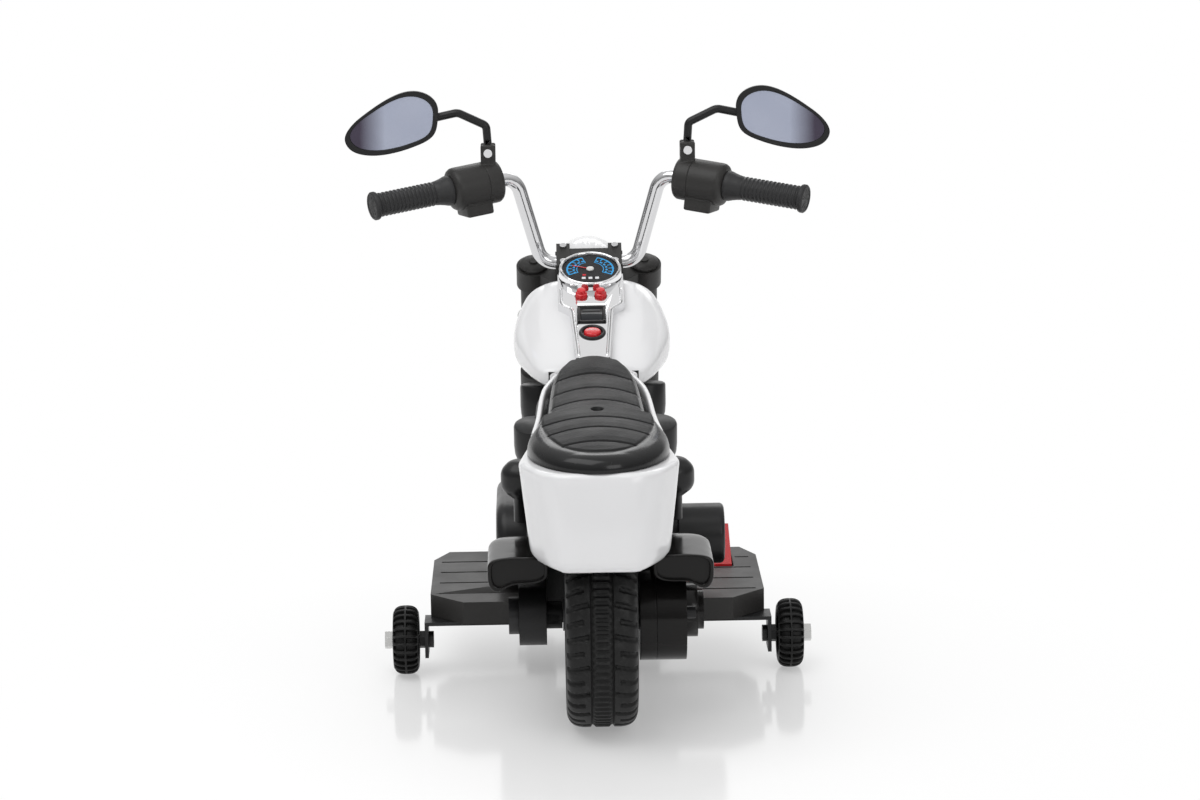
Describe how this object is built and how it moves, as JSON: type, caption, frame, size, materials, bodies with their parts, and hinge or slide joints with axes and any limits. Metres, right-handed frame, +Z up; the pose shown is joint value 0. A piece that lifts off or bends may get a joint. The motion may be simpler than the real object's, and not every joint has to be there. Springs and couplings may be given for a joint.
{
  "type": "kids electric motorbike",
  "caption": "Battery-powered ride-on cruiser motorbike for small children, with high bars, mirrors, a dummy engine, footboards and side stabiliser wheels.",
  "frame": {"origin": "on the floor, under the middle of the bike's length and width", "axes": "+X to the rider's right, +Y forward, +Z up"},
  "size_m": [0.4252, 0.705, 0.4702],
  "materials": {
    "white_gloss": "gloss white moulded plastic",
    "black_matte": "satin black moulded plastic",
    "black_gloss": "gloss black moulded plastic",
    "seat_black": "grained black moulded plastic",
    "chrome_plate": "bright chrome plating",
    "chrome_steel": "chromed steel tube",
    "red_plastic": "gloss red moulded plastic",
    "wheel_black": "blow-moulded black plastic",
    "rim_grey": "silver grey moulded plastic",
    "grip_black": "ribbed soft black rubber",
    "steel": "zinc-plated steel",
    "black_steel": "black powder-coated steel",
    "dial": "printed dial face",
    "mirror_glass": "smoked mirror sheet",
    "lens": "clear lens",
    "nylon": "natural nylon",
    "battery_case": "sealed battery case",
    "circuit_board": "green circuit board",
    "speaker_black": "black paper cone and frame",
    "socket_black": "black charging socket"
  },
  "bodies": {
    "chassis": {"chassis_left": "black_matte", "chassis_right": "black_matte", "head_sleeve": "steel", "fuel_tank": "white_gloss", "dash_console": "chrome_plate", "gauge_face": "dial", "music_player": "black_matte", "power_switch_bezel": "black_matte", "seat": "seat_black", "rear_fender": "white_gloss", "shocks": "black_matte", "exhausts": "black_gloss", "engine_cover_left": "black_matte", "engine_cover_right": "black_matte", "air_cleaner": "black_gloss", "primary_cover": "black_matte", "footboard_left": "black_matte", "footboard_right": "black_matte", "screw_and_pin": "steel", "pedal_spring": "steel", "pedal_switch": "black_matte", "stabiliser_brackets": "black_steel", "stabiliser_bolts": "steel", "rear_axle": "steel", "gearbox_case": "black_matte", "gearbox_cover": "black_matte", "drive_motor": "steel", "battery": "battery_case", "control_board": "circuit_board", "speaker": "speaker_black", "charge_socket": "socket_black"},
    "steering": {"steering_stem": "black_matte", "fork_bridge": "black_matte", "fork_legs": "black_matte", "handlebar": "chrome_steel", "handlebar_clamps": "black_matte", "steering_screws": "steel", "control_box_left": "black_matte", "control_box_right": "black_matte", "grips": "grip_black", "headlight_shell": "white_gloss", "headlight_lens": "lens", "front_fender": "white_gloss", "front_axle": "steel"},
    "front_wheel": {"front_tyre": "wheel_black", "front_rim": "rim_grey"},
    "rear_wheel": {"rear_tyre": "wheel_black", "rear_rim": "rim_grey", "drive_gear": "nylon"},
    "pinion": {"motor_pinion": "nylon"},
    "mirror_left": {"mirror_left": "black_matte", "mirror_glass_left": "mirror_glass"},
    "mirror_right": {"mirror_right": "black_matte", "mirror_glass_right": "mirror_glass"},
    "accelerator": {"accelerator_pedal": "red_plastic"},
    "horn_button": {"horn_button": "red_plastic"},
    "music_button": {"music_button": "red_plastic"},
    "power_rocker": {"power_switch_rocker": "red_plastic"},
    "stabiliser_wheel_left": {"stabiliser_wheel_left": "wheel_black"},
    "stabiliser_wheel_right": {"stabiliser_wheel_right": "wheel_black"}
  },
  "joints": [
    {"name": "steering_turn", "type": "hinge", "parent": "chassis", "child": "steering", "pos_m": [0, 0.12394, 0.308], "axis": [0, -0.4695, 0.8829], "range_deg": [-30, 30]},
    {"name": "front_wheel_spin", "type": "hinge", "parent": "steering", "child": "front_wheel", "pos_m": [0, 0.2625, 0.09], "axis": [-1, 0, 0], "continuous": true},
    {"name": "rear_wheel_spin", "type": "hinge", "parent": "chassis", "child": "rear_wheel", "pos_m": [0, -0.2475, 0.09], "axis": [-1, 0, 0], "continuous": true},
    {"name": "motor_pinion_spin", "type": "hinge", "parent": "chassis", "child": "pinion", "pos_m": [0.0338, -0.21033, 0.0821], "axis": [-1, 0, 0], "continuous": true},
    {"name": "mirror_left_fold", "type": "hinge", "parent": "steering", "child": "mirror_left", "pos_m": [-0.08751, 0.10211, 0.41503], "axis": [0, 1, 0], "range_deg": [-25, 25]},
    {"name": "mirror_right_fold", "type": "hinge", "parent": "steering", "child": "mirror_right", "pos_m": [0.08751, 0.10211, 0.41503], "axis": [0, 1, 0], "range_deg": [-25, 25]},
    {"name": "accelerator_press", "type": "hinge", "parent": "chassis", "child": "accelerator", "pos_m": [0.0965, -0.0065, 0.062], "axis": [-1, 0, 0], "range_deg": [0, 8], "stiffness_Nm_per_rad": 2, "springref_deg": -2.86, "deforming": ["pedal_spring"]},
    {"name": "horn_button_press", "type": "slide", "parent": "chassis", "child": "horn_button", "axis": [0, 0.3672, -0.9302], "range_m": [0, 0.002], "stiffness_N_per_m": 300, "springref_m": -0.001},
    {"name": "music_button_press", "type": "slide", "parent": "chassis", "child": "music_button", "axis": [0, 0.3672, -0.9302], "range_m": [0, 0.002], "stiffness_N_per_m": 300, "springref_m": -0.001},
    {"name": "power_rocker_tip", "type": "hinge", "parent": "chassis", "child": "power_rocker", "pos_m": [0, -0.02502, 0.27632], "axis": [-1, 0, 0], "range_deg": [0, 20]},
    {"name": "stabiliser_left_spin", "type": "hinge", "parent": "chassis", "child": "stabiliser_wheel_left", "pos_m": [-0.162, -0.0975, 0.029], "axis": [-1, 0, 0], "continuous": true},
    {"name": "stabiliser_right_spin", "type": "hinge", "parent": "chassis", "child": "stabiliser_wheel_right", "pos_m": [0.162, -0.0975, 0.029], "axis": [-1, 0, 0], "continuous": true}
  ],
  "couplings": [
    {"joint": "motor_pinion_spin", "follows": "rear_wheel_spin", "ratio": -5.3333}
  ]
}
